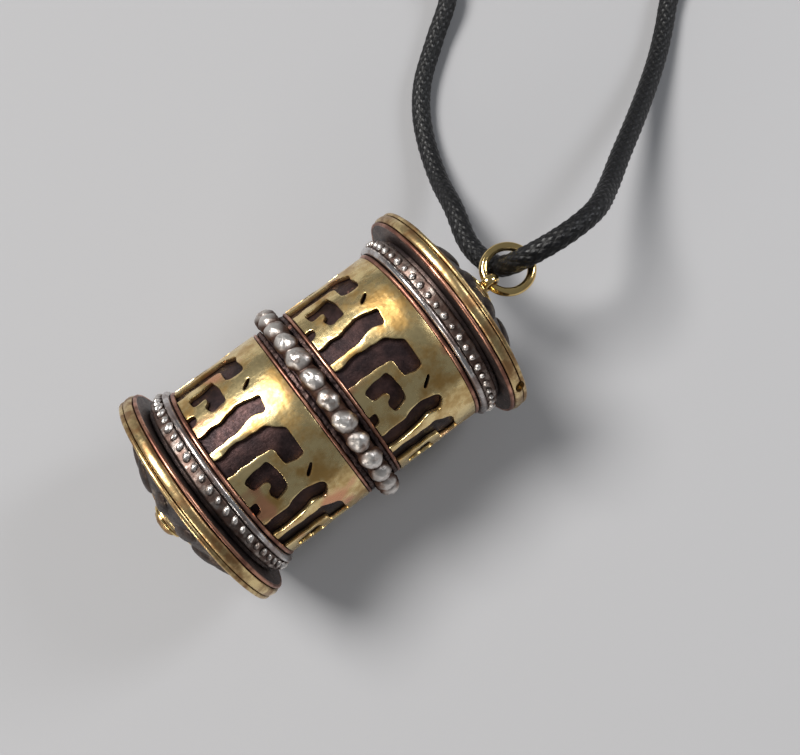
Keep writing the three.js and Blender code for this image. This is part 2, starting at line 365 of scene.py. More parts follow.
class Graph:
    """The nodes of one material."""

    def __init__(self, name: str, spindle: Spindle) -> None:
        """Starts a material with a Principled shader.

        Args:
            name: The material's name.
            spindle: The line that worn heights are measured from.
        """
        self.material = bpy.data.materials.new(name)
        self.material.use_nodes = True
        self.tree = self.material.node_tree
        self.tree.nodes.clear()
        self.spindle = spindle
        self.shader = self.add("ShaderNodeBsdfPrincipled")
        output = self.add("ShaderNodeOutputMaterial")
        self.tree.links.new(self.shader.outputs[0], output.inputs[0])
        self.coordinates = self.add("ShaderNodeTexCoord")

    def add(self, kind: str, **settings: object) -> bpy.types.Node:
        """Adds a node with its settings."""
        node = self.tree.nodes.new(kind)
        for key, value in settings.items():
            setattr(node, key, value)
        return node

    def feed(self, socket: bpy.types.NodeSocket, value: object) -> None:
        """Links a socket to an input, or sets the input to a value."""
        if isinstance(value, bpy.types.NodeSocket):
            self.tree.links.new(value, socket)
        else:
            socket.default_value = value

    def place(self, stretch: Point = (1.0, 1.0, 1.0)) -> bpy.types.NodeSocket:
        """Object coordinates, stretched."""
        mapping = self.add("ShaderNodeMapping")
        self.feed(mapping.inputs["Vector"], self.coordinates.outputs["Object"])
        mapping.inputs["Scale"].default_value = stretch
        return mapping.outputs[0]

    def noise(
        self, size: float, detail: float = 3.0, rough: float = 0.55, stretch: Point = (1.0, 1.0, 1.0)
    ) -> bpy.types.NodeSocket:
        """Noise whose spots are about as long as the size given, in metres."""
        node = self.add("ShaderNodeTexNoise")
        self.feed(node.inputs["Vector"], self.place(stretch))
        node.inputs["Scale"].default_value = 1 / size
        node.inputs["Detail"].default_value = detail
        node.inputs["Roughness"].default_value = rough
        return node.outputs["Fac"]

    def math(self, operation: str, first: object, second: object = 0.0) -> bpy.types.NodeSocket:
        """A Math node."""
        node = self.add("ShaderNodeMath", operation=operation, use_clamp=False)
        self.feed(node.inputs[0], first)
        self.feed(node.inputs[1], second)
        return node.outputs[0]

    def between(self, value: object, low: float, high: float) -> bpy.types.NodeSocket:
        """A smooth step from 0 at the low value to 1 at the high one."""
        node = self.add("ShaderNodeMapRange", interpolation_type="SMOOTHSTEP")
        self.feed(node.inputs["Value"], value)
        node.inputs["From Min"].default_value = low
        node.inputs["From Max"].default_value = high
        return node.outputs[0]

    def span(self, value: object, low: float, high: float) -> bpy.types.NodeSocket:
        """Turns a value from 0 to 1 into one from low to high."""
        node = self.add("ShaderNodeMapRange")
        self.feed(node.inputs["Value"], value)
        node.inputs["To Min"].default_value = low
        node.inputs["To Max"].default_value = high
        return node.outputs[0]

    def blend(self, share: object, first: object, second: object) -> bpy.types.NodeSocket:
        """A mix of two colours."""
        node = self.add("ShaderNodeMix", data_type="RGBA")
        self.feed(node.inputs["Factor"], share)
        for socket, colour in ((node.inputs[6], first), (node.inputs[7], second)):
            self.feed(socket, colour if isinstance(colour, bpy.types.NodeSocket) else (*colour, 1.0))
        return node.outputs[2]

    def hollow(self, reach: float) -> bpy.types.NodeSocket:
        """1 on open surfaces and less in hollows that are narrower than the reach: the ambient occlusion that
        painted shade follows.
        """
        node = self.add("ShaderNodeAmbientOcclusion", samples=8)
        node.inputs["Distance"].default_value = reach
        return node.outputs["AO"]

    def radius(self) -> bpy.types.NodeSocket:
        """Distance from the spindle."""
        split = self.add("ShaderNodeSeparateXYZ")
        self.feed(split.inputs[0], self.coordinates.outputs["Object"])
        lifted = self.math("SUBTRACT", split.outputs[2], self.spindle.height)
        flat = self.math("MULTIPLY", split.outputs[1], split.outputs[1])
        return self.math("SQRT", self.math("ADD", flat, self.math("MULTIPLY", lifted, lifted)))

    def bump(self, *layers: tuple[object, float]) -> None:
        """Adds layers of fine relief.

        Args:
            layers: Height sockets from 0 to 1, each with its depth in metres.
        """
        normal: bpy.types.NodeSocket | None = None
        for height, depth in layers:
            node = self.add("ShaderNodeBump")
            node.inputs["Distance"].default_value = depth
            node.inputs["Strength"].default_value = 1.0
            self.feed(node.inputs["Height"], height)
            if normal is not None:
                self.feed(node.inputs["Normal"], normal)
            normal = node.outputs[0]
        self.feed(self.shader.inputs["Normal"], normal)

    def finish(self, colour: object, rough: object, metal: float) -> bpy.types.Material:
        """Feeds the shader and gives the material."""
        value = colour if isinstance(colour, bpy.types.NodeSocket) else (*colour, 1.0)
        self.feed(self.shader.inputs["Base Color"], value)
        self.feed(self.shader.inputs["Roughness"], rough)
        self.shader.inputs["Metallic"].default_value = metal
        return self.material


@dataclass(frozen=True)
class WornMetal:
    """A metal that is bright where it is rubbed and dark where it isn't, with painted shade darkening its
    hollows.
    """

    name: str
    bright: Point
    tarnish: Point
    # Colour of the painted shade in hollows and between parts; it also stands for some tarnish there.
    hollow: Point
    polish: float = 0.24
    dull: float = 0.5
    patches: float = 0.35
    patch_size: float = 2.2 * MM
    # How far the painted shade reaches into hollows.
    hollow_reach: float = 0.5 * MM
    dents: float = 0.02 * MM
    bloom: Point = (0.72, 0.36, 0.2)
    bloom_share: float = 0.0

    def material(self, spindle: Spindle) -> bpy.types.Material:
        """Makes the material.

        Args:
            spindle: The line that the drum turns on.

        Returns:
            The material.
        """
        graph = Graph(self.name, spindle)
        cloud = graph.noise(self.patch_size, detail=5.0, rough=0.6)
        fine = graph.noise(0.35 * MM, detail=4.0)
        tarnished = graph.between(cloud, 0.62 - self.patches * 0.5, 0.78 - self.patches * 0.25)
        # Mask for the painted shade: 0 where ambient occlusion finds the spot shut in, 1 in the open.
        unshaded = graph.between(graph.hollow(self.hollow_reach), 0.35, 0.8)
        colour = graph.blend(tarnished, self.bright, self.tarnish)
        if self.bloom_share:
            spots = graph.noise(4.0 * MM, detail=2.0, rough=0.5)
            edge = 0.84 - 0.3 * self.bloom_share
            colour = graph.blend(graph.between(spots, edge - 0.06, edge + 0.06), colour, self.bloom)
        # Painted shade: the colour turns to the hollow colour where ambient occlusion is low, in hollows and
        # between parts.
        colour = graph.blend(unshaded, self.hollow, colour)
        scratches = graph.noise(0.12 * MM, detail=2.0, stretch=(0.12, 1.0, 1.0))
        gloss = graph.span(tarnished, self.polish, self.dull)
        rough = graph.math("ADD", gloss, graph.span(fine, -0.06, 0.06))
        rough = graph.math("ADD", rough, graph.span(unshaded, 0.2, 0.0))
        graph.bump((graph.noise(1.3 * MM, detail=2.0), self.dents * 2.5), (fine, self.dents * 0.5),
                   (scratches, self.dents * 0.25))
        return graph.finish(colour, rough, 1.0)


@dataclass(frozen=True)
class OxidisedCopper:
    """Copper darkened to a purple brown, with rubbed spots."""

    name: str = "oxidised_copper"
    dark: Point = (0.02, 0.0125, 0.0135)
    warm: Point = (0.062, 0.034, 0.032)
    rubbed: Point = (0.3, 0.15, 0.11)
    rubbed_share: float = 0.2

    def material(self, spindle: Spindle) -> bpy.types.Material:
        """Makes the material."""
        graph = Graph(self.name, spindle)
        cloud = graph.noise(1.8 * MM, detail=6.0, rough=0.65)
        pits = graph.noise(0.22 * MM, detail=4.0, rough=0.7)
        spots = graph.noise(2.6 * MM, detail=5.0, rough=0.7)
        colour = graph.blend(graph.between(cloud, 0.35, 0.7), self.dark, self.warm)
        edge = 0.82 - 0.3 * self.rubbed_share
        colour = graph.blend(graph.between(spots, edge - 0.08, edge), colour, self.rubbed)
        rough = graph.span(graph.between(pits, 0.3, 0.7), 0.36, 0.6)
        graph.bump((pits, 0.03 * MM), (cloud, 0.06 * MM))
        return graph.finish(colour, rough, 0.85)


@dataclass(frozen=True)
class RubbedRelief:
    """White metal relief: bright from one radius outwards, and black further in; also black as painted shade
    where its hollows shut it in.
    """

    name: str
    black_radius: float
    bright_radius: float
    bright: Point = (0.78, 0.74, 0.7)
    grey: Point = (0.4, 0.31, 0.26)
    black: Point = (0.075, 0.042, 0.032)
    polish: float = 0.3

    def material(self, spindle: Spindle) -> bpy.types.Material:
        """Makes the material."""
        graph = Graph(self.name, spindle)
        cloud = graph.noise(1.2 * MM, detail=5.0, rough=0.65)
        fine = graph.noise(0.25 * MM, detail=4.0, rough=0.7)
        wobble = graph.span(cloud, -0.12 * MM, 0.12 * MM)
        height = graph.math("ADD", graph.radius(), wobble)
        high = graph.between(height, self.black_radius, self.bright_radius)
        # Painted shade: the relief turns black where ambient occlusion finds hollows and joins between parts,
        # besides its black low parts.
        unshaded = graph.between(graph.hollow(0.35 * MM), 0.3, 0.75)
        share = graph.math("MULTIPLY", high, unshaded)
        metal = graph.blend(graph.between(cloud, 0.5, 0.68), self.bright, self.grey)
        colour = graph.blend(share, self.black, metal)
        rough = graph.math("ADD", graph.span(share, 0.55, self.polish), graph.span(fine, -0.05, 0.08))
        graph.bump((graph.noise(0.7 * MM, detail=3.0), 0.09 * MM), (fine, 0.02 * MM))
        return graph.finish(colour, rough, 0.95)


@dataclass(frozen=True)
class Paper:
    """Plain wound paper or thread, with fibres along it."""

    name: str
    colour: Point
    shade: Point

    def material(self, spindle: Spindle) -> bpy.types.Material:
        """Makes the material."""
        graph = Graph(self.name, spindle)
        fibres = graph.noise(0.3 * MM, detail=5.0, stretch=(0.3, 1.0, 1.0))
        graph.bump((fibres, 0.02 * MM))
        return graph.finish(graph.blend(fibres, self.colour, self.shade), 0.85, 0.0)


@dataclass(frozen=True)
class WaxedBraid:
    """Waxed black cotton braid. Its threads follow the cord's own map: round it and along it."""

    name: str = "waxed_braid"
    carriers: int = 8
    lay: float = 9.2 * MM
    dark: Point = (0.0012, 0.0012, 0.0014)
    worn: Point = (0.005, 0.005, 0.006)

    def material(self, spindle: Spindle) -> bpy.types.Material:
        """Makes the material."""
        graph = Graph(self.name, spindle)
        split = graph.add("ShaderNodeSeparateXYZ")
        graph.feed(split.inputs[0], graph.coordinates.outputs["UV"])
        around = graph.math("MULTIPLY", split.outputs[0], 2 * math.pi * self.carriers / 2)
        along = graph.math("MULTIPLY", split.outputs[1], 2 * math.pi * self.carriers / 2 / self.lay)
        left = graph.math("SINE", graph.math("ADD", around, along))
        right = graph.math("SINE", graph.math("SUBTRACT", around, along))
        braid = graph.math("MULTIPLY", left, right)
        plait = graph.span(graph.math("ABSOLUTE", braid), 0.0, 1.0)
        strands = graph.math("SINE", graph.math("MULTIPLY", graph.math("ADD", around, graph.math(
            "MULTIPLY", along, graph.math("SIGN", braid))), 5.0))
        fluff = graph.noise(0.15 * MM, detail=4.0)
        colour = graph.blend(graph.between(plait, 0.1, 0.9), self.dark, self.worn)
        rough = graph.math("ADD", graph.span(plait, 0.55, 0.3), graph.span(fluff, -0.06, 0.1))
        graph.bump((plait, 0.05 * MM), (graph.span(strands, 0.0, 1.0), 0.012 * MM), (fluff, 0.012 * MM))
        graph.shader.inputs["Specular IOR Level"].default_value = 0.32
        return graph.finish(colour, rough, 0.0)


@dataclass
class Finishes:
    """Every finish of the object, made once."""

    spindle: Spindle
    made: dict[str, bpy.types.Material] = field(default_factory=dict)

    def get(self, finish: "Finish") -> bpy.types.Material:
        """Gives a finish's material, and makes it the first time."""
        if finish.name not in self.made:
            self.made[finish.name] = finish.material(self.spindle)
        return self.made[finish.name]


Finish = WornMetal | OxidisedCopper | RubbedRelief | Paper | WaxedBraid

# In these metals the hollow colour is painted shade, drawn into hollows and joins between parts.
SLEEVE_BRASS = WornMetal(
    "sleeve_brass", bright=(0.92, 0.73, 0.37), tarnish=(0.52, 0.32, 0.11), hollow=(0.12, 0.065, 0.04),
    polish=0.24, dull=0.36, patches=0.45, bloom_share=0.66,
)
RIM_BRASS = WornMetal(
    "rim_brass", bright=(0.82, 0.64, 0.32), tarnish=(0.3, 0.17, 0.075), hollow=(0.05, 0.026, 0.018),
    polish=0.22, dull=0.42, patches=0.62, patch_size=1.5 * MM, hollow_reach=0.35 * MM,
)
WIRE_BRASS = WornMetal(
    "wire_brass", bright=(0.87, 0.64, 0.27), tarnish=(0.7, 0.44, 0.16), hollow=(0.2, 0.1, 0.04),
    polish=0.12, dull=0.25, patches=0.2,
)
COPPER = WornMetal(
    "copper", bright=(0.66, 0.34, 0.23), tarnish=(0.2, 0.09, 0.065), hollow=(0.04, 0.02, 0.018),
    polish=0.28, dull=0.45, patches=0.6,
)
STEEL = WornMetal(
    "drawn_steel", bright=(0.56, 0.55, 0.54), tarnish=(0.4, 0.38, 0.36), hollow=(0.1, 0.09, 0.09),
)
BRIGHT_BAND = WornMetal(
    "bright_band", bright=(0.72, 0.7, 0.69), tarnish=(0.27, 0.21, 0.19), hollow=(0.03, 0.022, 0.02),
    polish=0.16, dull=0.38, patches=0.6,
)
PITTED_WHITE = WornMetal(
    "pitted_white", bright=(0.5, 0.45, 0.41), tarnish=(0.13, 0.085, 0.07), hollow=(0.025, 0.016, 0.014),
    polish=0.26, dull=0.5, patches=0.8, patch_size=0.9 * MM, dents=0.05 * MM,
)
NECK_METAL = OxidisedCopper("neck_metal", dark=(0.045, 0.033, 0.032), warm=(0.13, 0.092, 0.08))
DARK_COPPER = OxidisedCopper()
PITTED_COPPER = OxidisedCopper("pitted_copper", dark=(0.03, 0.02, 0.02), warm=(0.12, 0.075, 0.065),
                               rubbed_share=0.5)
BEAD_METAL = RubbedRelief("bead_metal", black_radius=9.25 * MM, bright_radius=9.95 * MM)
GRAIN_METAL = RubbedRelief("grain_metal", black_radius=8.88 * MM, bright_radius=9.2 * MM)
PETAL_METAL = OxidisedCopper("petal_metal", dark=(0.022, 0.016, 0.015), warm=(0.085, 0.06, 0.048),
                             rubbed=(0.32, 0.25, 0.18), rubbed_share=0.5)
ROLL_PAPER = Paper("roll_paper", (0.62, 0.53, 0.36), (0.75, 0.67, 0.5))
ROLL_THREAD = Paper("roll_thread", (0.3, 0.06, 0.04), (0.45, 0.12, 0.08))
CORD_BRAID = WaxedBraid()


# --------------------------------------------------------------------------- assemblies


@dataclass
class Maker:
    """What every sub-assembly shares: the spindle line, the finishes and the way a piece is handed over."""

    spindle: Spindle
    finishes: Finishes

    def seat(self, node: str) -> Seat:
        """The room of a turned node."""
        return Seat.of(node, self.spindle)

    def dress(self, part: bpy.types.Object, finish: Finish) -> bpy.types.Object:
        """Gives one part its finish."""
        part.data.materials.clear()
        part.data.materials.append(self.finishes.get(finish))
        return part

    def keep(self, node: str, slot: str, finish: Finish) -> None:
        """Gives a CAD node that stays as it is its finish."""
        self.dress(bpy.data.objects[node], finish)

    def hand_over(
        self,
        piece: bpy.types.Object,
        body: Body | None,
        slot: str,
        *finishes: Finish,
        replaces: Iterable[str] = (),
    ) -> bpy.types.Object:
        """Dresses a piece, rides it on its body and lets it stand for its CAD nodes.

        Args:
            piece: The finished mesh.
            body: The body that it moves with, or None where it is tied to its bodies already.
            slot: A material slot name; not used.
            finishes: Its finish, where its parts aren't dressed already.
            replaces: The CAD nodes that it stands for.

        Returns:
            The piece.
        """
        for finish in finishes:
            self.dress(piece, finish)
        if body is not None:
            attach(piece, body.value)
        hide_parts(*replaces)
        log.info("%s: %d faces", piece.name, len(piece.data.polygons))
        return piece


@dataclass
class Camera:
    """The camera, at a hand's breadth over the pendant and a little to its tail side."""

    lens: float = 38.25
    right: Point = (0.7965, -0.6034, -0.0394)
    upward: Point = (0.5948, 0.7700, 0.2309)
    backward: Point = (-0.1091, -0.2073, 0.9722)
    from_drum: Point = (-1.73 * MM, -17.7 * MM, 73.2 * MM)

    def build(self, spindle: Spindle) -> None:
        """Adds the camera."""
        data = bpy.data.cameras.new("camera")
        data.lens = self.lens
        data.sensor_width = 36.0
        data.clip_start = 2 * MM
        data.clip_end = 10.0
        camera = bpy.data.objects.new("camera", data)
        bpy.context.scene.collection.objects.link(camera)
        turn = Matrix((self.right, self.upward, self.backward)).transposed()
        drum = Vector((spindle.middle, 0, spindle.height))
        camera.matrix_world = Matrix.Translation(drum + Vector(self.from_drum)) @ turn.to_4x4()
        bpy.context.scene.camera = camera


@dataclass
class NeckCord(Maker):
    """The waxed cord: a closed loop through the jump ring, its spare length wound in a coil, and its knot."""

    diameter: float = 2.1 * MM
    sides: int = 24
    step: float = 0.19 * MM
    plait_depth: float = 0.11
    turns: float = 2.5
    entry: float = 105.0
    crossing: float = 155.0
    rest: float = 1.1 * MM
    knot_height: float = 2.45 * MM
    knot_length: float = 5.0 * MM
    knot_wraps: int = 4
    length: float = 0.578
    bend_start: Point = (7.1 * MM, 10.7 * MM, -1.9 * MM)
    bend_end: Point = (-1.2 * MM, -1.7 * MM, 0.5 * MM)

    def from_ring_to_coil(self) -> list[Vector]:
        """The far side: through the jump ring, over its edge, and down in a long arch to the coil."""
        rest = self.rest / MM
        points = [
            (17.6, 1.0, 9.35), (18.25, 0.05, 10.9), (19.5, -0.6, 12.25), (21.35, -1.1, 13.1),
            (23.85, -1.25, 13.1), (27.0, -0.8, 12.0), (30.6, 0.85, 9.2), (34.9, 3.3, 6.8), (39.6, 5.9, 4.7),
            (43.9, 8.4, 3.0), (48.0, 11.0, 1.8), (51.5, 13.6, 1.2), (54.4, 16.0, rest),
            (60.0, 19.4, rest), (66.0, 22.4, 1.4),
        ]
        return [Vector(point) * MM for point in points]

    def from_coil_to_ring(self) -> list[Vector]:
        """The near side: from the coil through the knot, along the surface, and up under the jump ring."""
        rest, knot = self.rest / MM, self.knot_height / MM
        points = [
            (49.9, 56.3, rest), (45.9, 54.5, rest), (42.2, 49.6, rest), (39.8, 43.6, 1.9), (38.6, 39.0, knot),
            (37.6, 35.0, knot), (35.6, 31.4, 1.7), (31.0, 28.0, rest), (26.8, 24.7, rest), (24.4, 21.8, rest),
            (22.6, 18.5, 1.3), (20.7, 13.9, 2.5), (19.2, 9.6, 4.95), (17.7, 5.5, 6.3), (17.4, 2.8, 7.6),
        ]
        return [Vector(point) * MM for point in points]

    def coil(self) -> list[Vector]:
        """The turns of the coil: in along the upper turns, down inside, and out along the lower ones."""
        low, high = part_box("cord_coil")
        centre = (low + high) / 2
        outer = (high.x - low.x) / 2 - self.diameter / 2 - 0.15 * MM
        inner = outer - self.turns * (self.diameter + 0.08 * MM)
        sweep = 360.0 * self.turns
        whole = 2 * sweep + self.crossing
        points = []
        for number in range(int(whole / 24) + 1):
            angle = number * 24.0
            if angle < sweep:
                radius, height = outer - (outer - inner) * angle / sweep, 0.0
            elif angle < sweep + self.crossing:
                share = (angle - sweep) / self.crossing
                radius, height = inner, share * share * (3 - 2 * share)
            else:
                radius = inner + (outer - inner) * (angle - sweep - self.crossing) / sweep
                height = 1.0
            turn = math.radians(self.entry - angle)
            z = self.rest + height * (self.diameter + 0.02 * MM)
            points.append(Vector((centre.x + radius * math.cos(turn), centre.y + radius * math.sin(turn), z)))
        points.reverse()
        return points

    def line(self) -> list[Vector]:
        """The whole centreline, from the jump ring round to the jump ring, in even steps."""
        posts = [*self.from_ring_to_coil(), *self.coil(), *self.from_coil_to_ring()]
        count = len(posts)
        fine: list[Vector] = []
        for index in range(count):
            before, start, end, after = (posts[(index + shift) % count] for shift in (-1, 0, 1, 2))
            spans = ((before, start), (start, end), (end, after))
            gaps = [max((b - a).length, 1e-9) ** 0.5 for a, b in spans]
            leave = ((start - before) / gaps[0] - (end - before) / (gaps[0] + gaps[1])
                     + (end - start) / gaps[1]) * gaps[1]
            arrive = ((end - start) / gaps[1] - (after - start) / (gaps[1] + gaps[2])
                      + (after - end) / gaps[2]) * gaps[1]
            for part in range(24):
                t = part / 24
                fine.append(
                    start + leave * t + (3 * (end - start) - 2 * leave - arrive) * t ** 2
                    + (2 * (start - end) + leave + arrive) * t ** 3
                )
        return self.evenly(fine)

    def evenly(self, loop: list[Vector]) -> list[Vector]:
        """Steps of one length round a closed loop."""
        closed = [*loop, loop[0]]
        lengths = [0.0]
        for a, b in zip(closed, closed[1:]):
            lengths.append(lengths[-1] + (b - a).length)
        count = round(lengths[-1] / self.step)
        even, index = [], 0
        for number in range(count):
            wanted = lengths[-1] * number / count
            while lengths[index + 1] < wanted:
                index += 1
            share = (wanted - lengths[index]) / (lengths[index + 1] - lengths[index])
            even.append(closed[index].lerp(closed[index + 1], share))
        return even

    def tube(self, line: list[Vector]) -> bpy.types.Object:
        """A closed braided tube round the line, with a map of it: round the cord, and along it in metres.

        Args:
            line: The closed centreline.

        Returns:
            The cord.
        """
        count, sides = len(line), self.sides
        forward = [(line[(i + 1) % count] - line[i - 1]).normalized() for i in range(count)]
        side = forward[0].orthogonal().normalized()
        frames = []
        for way in forward:
            side = (side - way * side.dot(way)).normalized()
            frames.append(side.copy())
        back = (frames[-1] - forward[0] * frames[-1].dot(forward[0])).normalized()
        twist = math.atan2(back.cross(frames[0]).dot(forward[0]), back.dot(frames[0]))
        vertices = []
        waves = CORD_BRAID.carriers / 2
        for i, (centre, way) in enumerate(zip(line, forward)):
            across = Matrix.Rotation(twist * i / count, 3, way) @ frames[i]
            other = way.cross(across)
            along = 2 * math.pi * waves * i * self.step / CORD_BRAID.lay
            for k in range(sides):
                angle = 2 * math.pi * k / sides
                plait = abs(math.sin(waves * angle + along) * math.sin(waves * angle - along))
                radius = self.diameter / 2 * (1 - self.plait_depth * (1 - plait))
                vertices.append(centre + (across * math.cos(angle) + other * math.sin(angle)) * radius)
        faces = []
        for i in range(count):
            j = (i + 1) % count
            for k in range(sides):
                m = (k + 1) % sides
                faces.append((i * sides + k, i * sides + m, j * sides + m, j * sides + k))
        mesh = bpy.data.meshes.new("neck_cord")
        mesh.from_pydata(vertices, [], faces)
        chart = mesh.uv_layers.new(name="cord_map")
        loops = iter(chart.data)
        for i in range(count):
            for k in range(sides):
                for du, dv in ((0, 0), (1, 0), (1, 1), (0, 1)):
                    next(loops).uv = ((k + du) / sides, (i + dv) * self.step)
        piece = bpy.data.objects.new("neck_cord", mesh)
        bpy.context.scene.collection.objects.link(piece)
        return piece

    def knot(self) -> bpy.types.Object:
        """The knot: a few tight wraps of the cord round itself, drawn down to a barrel."""
        low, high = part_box("cord_knot")
        middle = (low + high) / 2
        near, far = self.from_coil_to_ring()[4:6]
        along = (far - near).normalized()
        wraps = self.knot_wraps
        thickness = self.knot_length / wraps / 2
        ring = (high.z - low.z) / 2 - thickness
        Bench.clear_selection()
        parts = []
        for number in range(wraps):
            bpy.ops.mesh.primitive_torus_add(
                major_segments=48, minor_segments=14, major_radius=ring, minor_radius=thickness,
            )
            wrap = Bench.active(f"wrap_{number}")
            for corner in wrap.data.uv_layers[0].data:
                corner.uv = (corner.uv.y, corner.uv.x * 2 * math.pi * ring)
            tilt = Matrix.Rotation(math.radians(9), 4, "Y")
            turn = along.to_track_quat("Z", "Y").to_matrix().to_4x4()
            shift = Matrix.Translation(middle + along * (number - (wraps - 1) / 2) * thickness * 1.9)
            wrap.data.transform(shift @ turn @ tilt)
            parts.append(wrap)
        piece = Bench.joined("cord_knot_wraps", parts)
        Bench.smooth(piece, 80)
        return piece

    def build(self) -> bpy.types.Object:
        line = self.line()
        cord = self.tube(line)
        Bench.smooth(cord, 80)
        knot = self.hand_over(self.knot(), Body.HANGER, "black_cord", CORD_BRAID, replaces=["cord_knot"])
        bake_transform(cord)
        self.hand_over(cord, None, "black_cord", CORD_BRAID, replaces=["cord_strand", "cord_coil"])
        log.info("cord length %.4f m", sum((b - a).length for a, b in zip(line, [*line[1:], line[0]])))
        return cord


@dataclass
class Hanger(Maker):
    """What doesn't turn: the spindle, its eye and rivet, the washers, and the jump ring on the eye."""

    def jump_ring(self) -> None:
        """The closed ring of round wire."""
        low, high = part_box("jump_ring")
        middle = (low + high) / 2
        thickness = (high.z - low.z) / 2
        Bench.clear_selection()
        bpy.ops.mesh.primitive_torus_add(
            location=middle, major_segments=96, minor_segments=24,
            major_radius=(high.x - low.x) / 2 - thickness, minor_radius=thickness,
        )
        piece = Bench.active("jump_ring_wire")
        Bench.uneven(piece, 0.03 * MM, 1.5 * MM)
        Bench.smooth(piece, 80)
        self.hand_over(piece, Body.RING, "polished_brass", WIRE_BRASS, replaces=["jump_ring"])

    def eye(self) -> None:
        """The eye: a flat loop on a short stem with a soldered foot."""
        low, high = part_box("eye_finial")
        foot = low.x - self.spindle.middle
        top = high.x - self.spindle.middle
        loop = (high.z - low.z) / 2
        reach = 1.05 * MM
        hole_at = top - reach
        thick = 0.26 * MM
        Bench.clear_selection()
        bpy.ops.mesh.primitive_torus_add(
            location=self.spindle.point(hole_at, 0, 0), rotation=(math.pi / 2, 0, 0),
            major_segments=48, minor_segments=16, major_radius=reach - thick, minor_radius=thick,
        )
        ring = Bench.active("eye_loop")
        with Bench.editing(ring):
            bpy.ops.transform.resize(value=(1, 1.7, 1))
        stem = Bench.turned("eye_stem", [
            (foot, 0.3 * MM), (foot, loop), (foot + 0.12 * MM, loop), (foot + 0.3 * MM, loop * 0.72),
            (foot + 0.45 * MM, 0.5 * MM), (hole_at - reach + 0.2 * MM, 0.45 * MM),
            (hole_at - reach + 0.25 * MM, 0.3 * MM),
        ], self.spindle, steps=48)
        piece = Bench.joined("eye", [ring, stem])
        Bench.smooth(piece, 60)
        self.hand_over(piece, Body.HANGER, "polished_brass", WIRE_BRASS, replaces=["eye_finial"])

    def rivet(self) -> None:
        """The peened head at the tail."""
        seat = self.seat("tail_rivet")
        steps = 10
        dome = [
            (seat.start + seat.width * (1 - math.cos(math.pi / 2 * s / steps)), seat.outer * math.sin(
                math.pi / 2 * s / steps)) for s in range(1, steps + 1)
        ]
        piece = Bench.turned("rivet_head", [*dome, (seat.end, 0.2 * MM), (seat.start + 0.1 * MM, 0.02 * MM)],
                             self.spindle, steps=48)
        Bench.uneven(piece, 0.05 * MM, 0.6 * MM)
        Bench.smooth(piece, 60)
        self.hand_over(piece, Body.HANGER, "polished_brass", RIM_BRASS, replaces=["tail_rivet"])

    def build(self) -> None:
        """Makes the hanger's pieces."""
        self.jump_ring()
        self.eye()
        self.rivet()
        for end in End:
            node = f"washer_{end.suffix}"
            seat = self.seat(node)
            section = rounded(seat.start, seat.end, 0.95 * MM, seat.outer, seat.width * 0.4, 3)
            piece = Bench.turned(f"{node}_disc", section, self.spindle, steps=64)
            Bench.smooth(piece)
            self.hand_over(piece, Body.HANGER, "polished_brass", WIRE_BRASS, replaces=[node])
        self.keep("spindle", "spindle_steel", STEEL)


